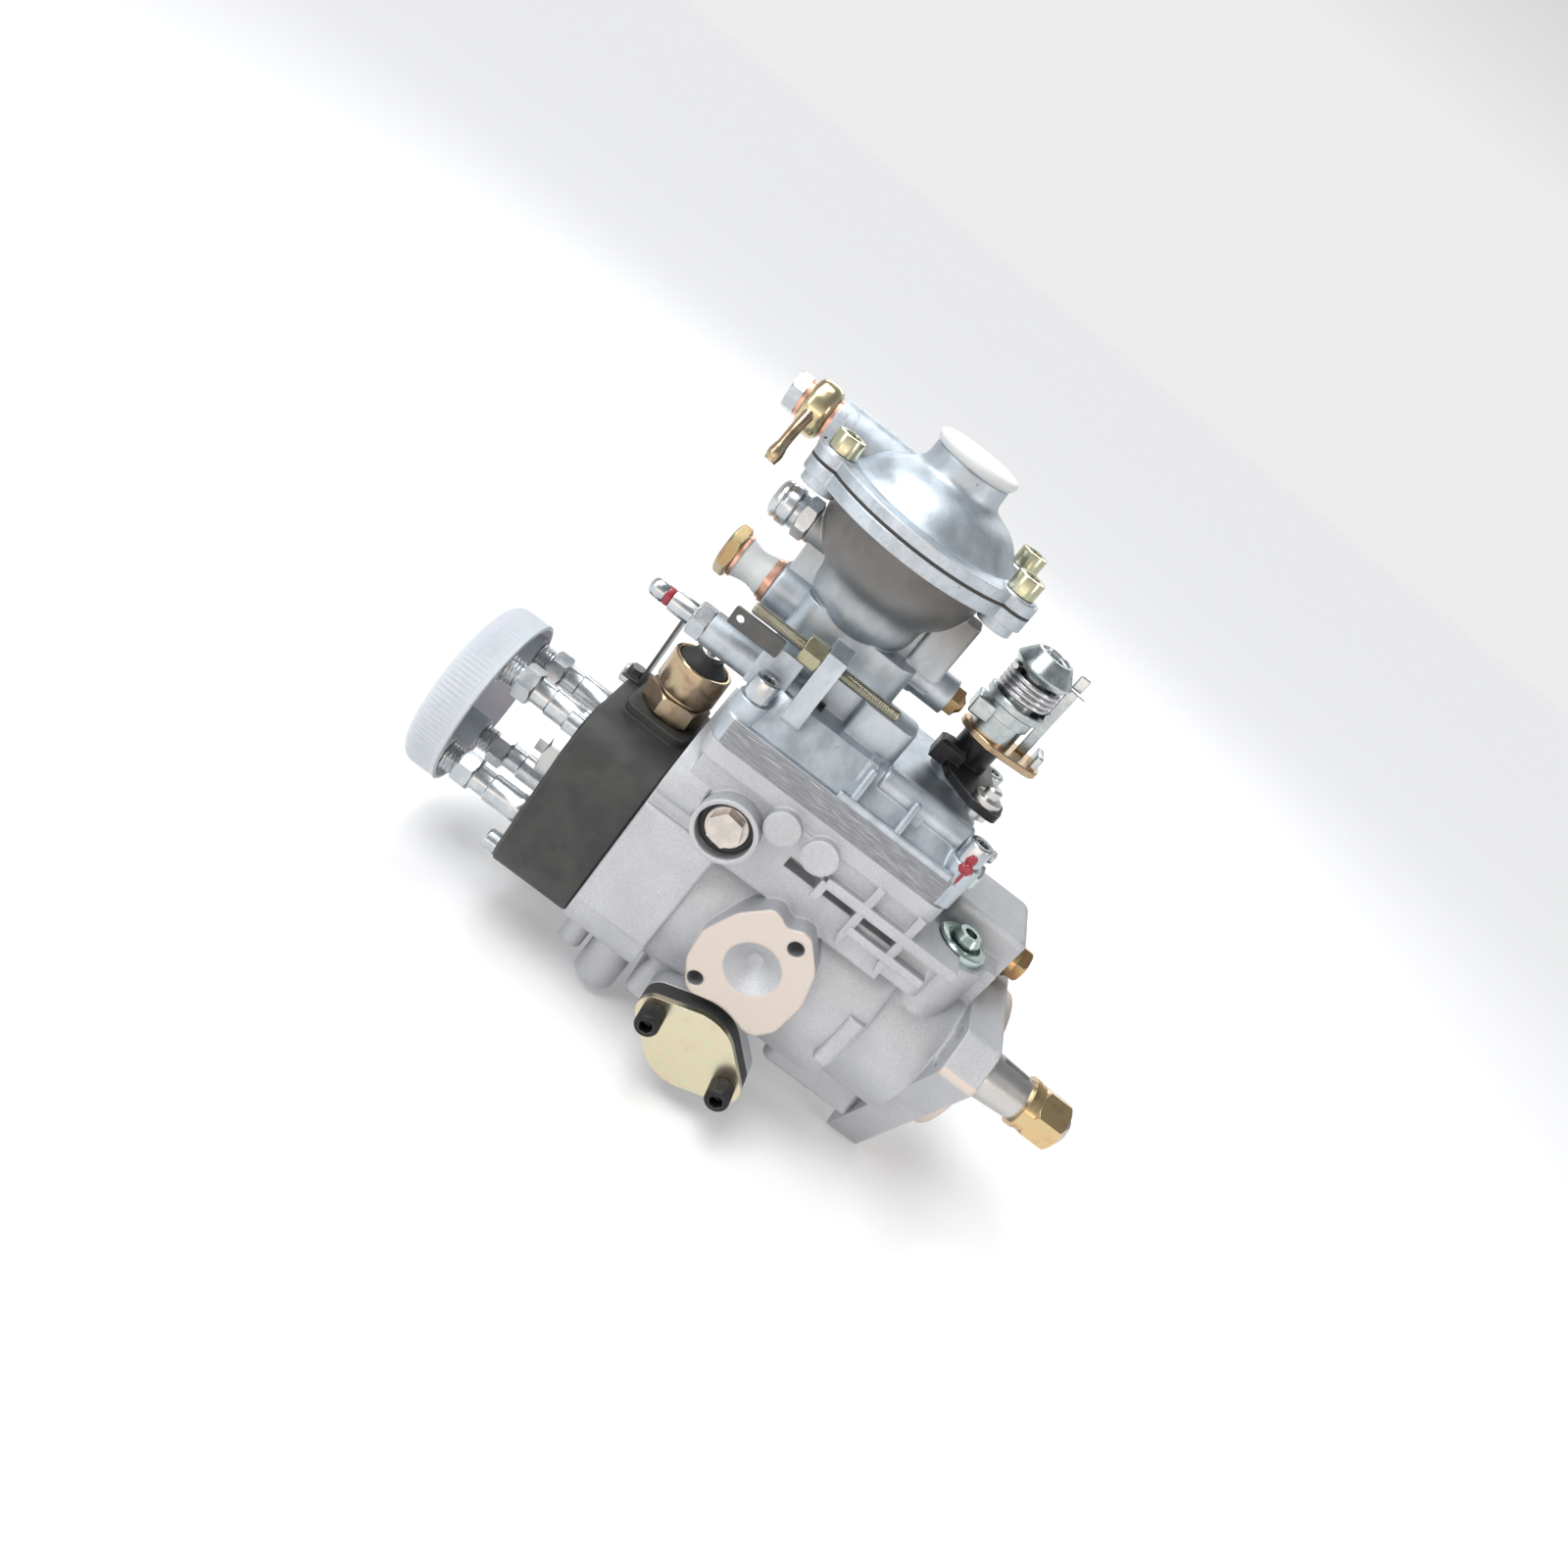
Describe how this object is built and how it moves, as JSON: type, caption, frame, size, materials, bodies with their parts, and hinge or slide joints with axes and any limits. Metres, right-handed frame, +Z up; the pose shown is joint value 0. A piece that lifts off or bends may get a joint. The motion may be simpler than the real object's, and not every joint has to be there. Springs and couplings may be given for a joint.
{
  "type": "diesel injection pump",
  "caption": "Rotary diesel injection pump with flange mount, tapered drive shaft, boost capsule, stop solenoid and capped outlets.",
  "frame": {"origin": "centre of the mounting flange's front face, on the drive shaft's axis", "axes": "+X out along the drive shaft, +Z up to the boost capsule, -Y towards the accessory pad"},
  "size_m": [0.3185, 0.123, 0.2673],
  "materials": {
    "cast_aluminium": "sand-cast and bead-blasted aluminium, satin",
    "black_head": "black oxide steel, semi-gloss",
    "black_steel": "black oxide steel, satin",
    "bright_zinc": "bright zinc plated steel",
    "yellow_zinc": "yellow passivated zinc plated steel",
    "copper": "annealed copper",
    "white_plastic": "moulded white plastic, satin",
    "black_rubber": "moulded black rubber",
    "machined_steel": "ground and turned steel",
    "spring_steel": "oiled spring steel"
  },
  "bodies": {
    "housing": {"pump_housing": "cast_aluminium", "governor_cover": "cast_aluminium", "boost_cover": "cast_aluminium", "distributor_head": "black_head", "timing_spacer": "black_head", "cover_screws": "black_steel", "timing_screws": "black_steel", "lead_bracket": "black_steel", "valve_holders": "bright_zinc", "head_screws": "bright_zinc", "boost_plug": "bright_zinc", "boost_banjo_bolt": "bright_zinc", "full_load_screw": "bright_zinc", "solenoid_body": "yellow_zinc", "inlet_bolt": "yellow_zinc", "return_bolt": "yellow_zinc", "boost_screws": "yellow_zinc", "boost_banjo": "yellow_zinc", "speed_screw": "yellow_zinc", "timing_covers": "yellow_zinc", "sealing_washers": "copper", "return_spacer": "white_plastic", "rubber_seals": "black_rubber", "boost_diaphragm": "black_rubber", "solenoid_cap": "black_rubber", "head_center_plug": "machined_steel", "side_plug": "machined_steel", "pressure_valve": "machined_steel", "plunger_barrel": "machined_steel", "delivery_valves": "machined_steel", "feed_ring": "machined_steel", "guide_pins": "machined_steel", "spring_bridge": "machined_steel", "boost_spring": "spring_steel", "internal_springs": "spring_steel"},
    "shaft": {"drive_shaft": "machined_steel", "shaft_fasteners": "yellow_zinc", "feed_rotor": "machined_steel", "drive_gear": "machined_steel", "cam_plate": "machined_steel", "plunger": "machined_steel"},
    "governor_carrier": {"flyweight_carrier": "machined_steel"},
    "weight_1": {"flyweight_1": "machined_steel"},
    "weight_2": {"flyweight_2": "machined_steel"},
    "weight_3": {"flyweight_3": "machined_steel"},
    "weight_4": {"flyweight_4": "machined_steel"},
    "sleeve": {"governor_sleeve": "machined_steel"},
    "lever": {"governor_lever": "machined_steel"},
    "collar": {"spill_collar": "machined_steel"},
    "timing": {"timing_piston": "machined_steel"},
    "rollers": {"roller_ring": "machined_steel"},
    "control": {"control_shaft": "machined_steel", "control_lever": "black_steel", "control_arm": "bright_zinc", "control_springs": "spring_steel"},
    "armature": {"solenoid_armature": "machined_steel"},
    "boost_stem": {"boost_pin": "machined_steel"},
    "pressure_slide": {"pressure_piston": "machined_steel"},
    "cap": {"shipping_cap": "white_plastic"},
    "dust_cap": {"boost_dust_cap": "white_plastic"}
  },
  "joints": [
    {"name": "shaft_spin", "type": "hinge", "parent": "housing", "child": "shaft", "pos_m": [0, 0, 0], "axis": [1, 0, 0], "continuous": true},
    {"name": "governor_spin", "type": "hinge", "parent": "housing", "child": "governor_carrier", "pos_m": [-0.065, 0, 0.048], "axis": [1, 0, 0], "continuous": true},
    {"name": "governor_sleeve_slide", "type": "slide", "parent": "housing", "child": "sleeve", "axis": [-1, 0, 0], "range_m": [0, 0.002], "stiffness_N_per_m": 1000},
    {"name": "weight_1_swing", "type": "hinge", "parent": "governor_carrier", "child": "weight_1", "pos_m": [-0.07385, 0, 0.0622], "axis": [0, 1, 0], "range_deg": [0, 14.1]},
    {"name": "weight_2_swing", "type": "hinge", "parent": "governor_carrier", "child": "weight_2", "pos_m": [-0.07385, -0.0142, 0.048], "axis": [0, 0, 1], "range_deg": [0, 14.1]},
    {"name": "weight_3_swing", "type": "hinge", "parent": "governor_carrier", "child": "weight_3", "pos_m": [-0.07385, 0, 0.0338], "axis": [0, -1, 0], "range_deg": [0, 14.1]},
    {"name": "weight_4_swing", "type": "hinge", "parent": "governor_carrier", "child": "weight_4", "pos_m": [-0.07385, 0.0142, 0.048], "axis": [0, 0, -1], "range_deg": [0, 14.1]},
    {"name": "governor_lever_swing", "type": "hinge", "parent": "housing", "child": "lever", "pos_m": [-0.128, 0, 0.027], "axis": [0, -1, 0], "range_deg": [0, 5.75]},
    {"name": "spill_collar_slide", "type": "slide", "parent": "housing", "child": "collar", "axis": [1, 0, 0], "range_m": [0, 0.00185]},
    {"name": "timing_slide", "type": "slide", "parent": "housing", "child": "timing", "axis": [0, 1, 0], "range_m": [-0.0042, 0.0042], "stiffness_N_per_m": 3000},
    {"name": "roller_ring_turn", "type": "hinge", "parent": "housing", "child": "rollers", "pos_m": [-0.092, 0, 0], "axis": [1, 0, 0], "range_deg": [-6, 6]},
    {"name": "control_lever_turn", "type": "hinge", "parent": "housing", "child": "control", "pos_m": [-0.077, 0.008, 0.1], "axis": [0, 0, 1], "range_deg": [-15, 35]},
    {"name": "armature_lift", "type": "slide", "parent": "housing", "child": "armature", "axis": [0, 0, 1], "range_m": [0, 0.0025], "stiffness_N_per_m": 400, "springref_m": -0.003},
    {"name": "boost_stem_slide", "type": "slide", "parent": "housing", "child": "boost_stem", "axis": [0, 0, -1], "range_m": [0, 0.004], "stiffness_N_per_m": 2000, "springref_m": -0.002, "deforming": ["boost_spring"]},
    {"name": "pressure_piston_lift", "type": "slide", "parent": "housing", "child": "pressure_slide", "axis": [0, 0, 1], "range_m": [0, 0.003], "stiffness_N_per_m": 500, "springref_m": -0.002},
    {"name": "shipping_cap_pull", "type": "slide", "parent": "housing", "child": "cap", "axis": [-1, 0, 0], "range_m": [0, 0.03]},
    {"name": "dust_cap_lift", "type": "slide", "parent": "housing", "child": "dust_cap", "axis": [0, 0, 1], "range_m": [0, 0.015]}
  ],
  "couplings": [
    {"joint": "governor_spin", "follows": "shaft_spin", "ratio": -1.6667},
    {"joint": "weight_1_swing", "follows": "governor_sleeve_slide", "rad_per_m": 122.17},
    {"joint": "weight_2_swing", "follows": "governor_sleeve_slide", "rad_per_m": 122.17},
    {"joint": "weight_3_swing", "follows": "governor_sleeve_slide", "rad_per_m": 122.17},
    {"joint": "weight_4_swing", "follows": "governor_sleeve_slide", "rad_per_m": 122.17},
    {"joint": "governor_lever_swing", "follows": "governor_sleeve_slide", "rad_per_m": 49.742},
    {"joint": "spill_collar_slide", "follows": "governor_sleeve_slide", "ratio": 0.9038},
    {"joint": "roller_ring_turn", "follows": "timing_slide", "rad_per_m": 24.691}
  ]
}
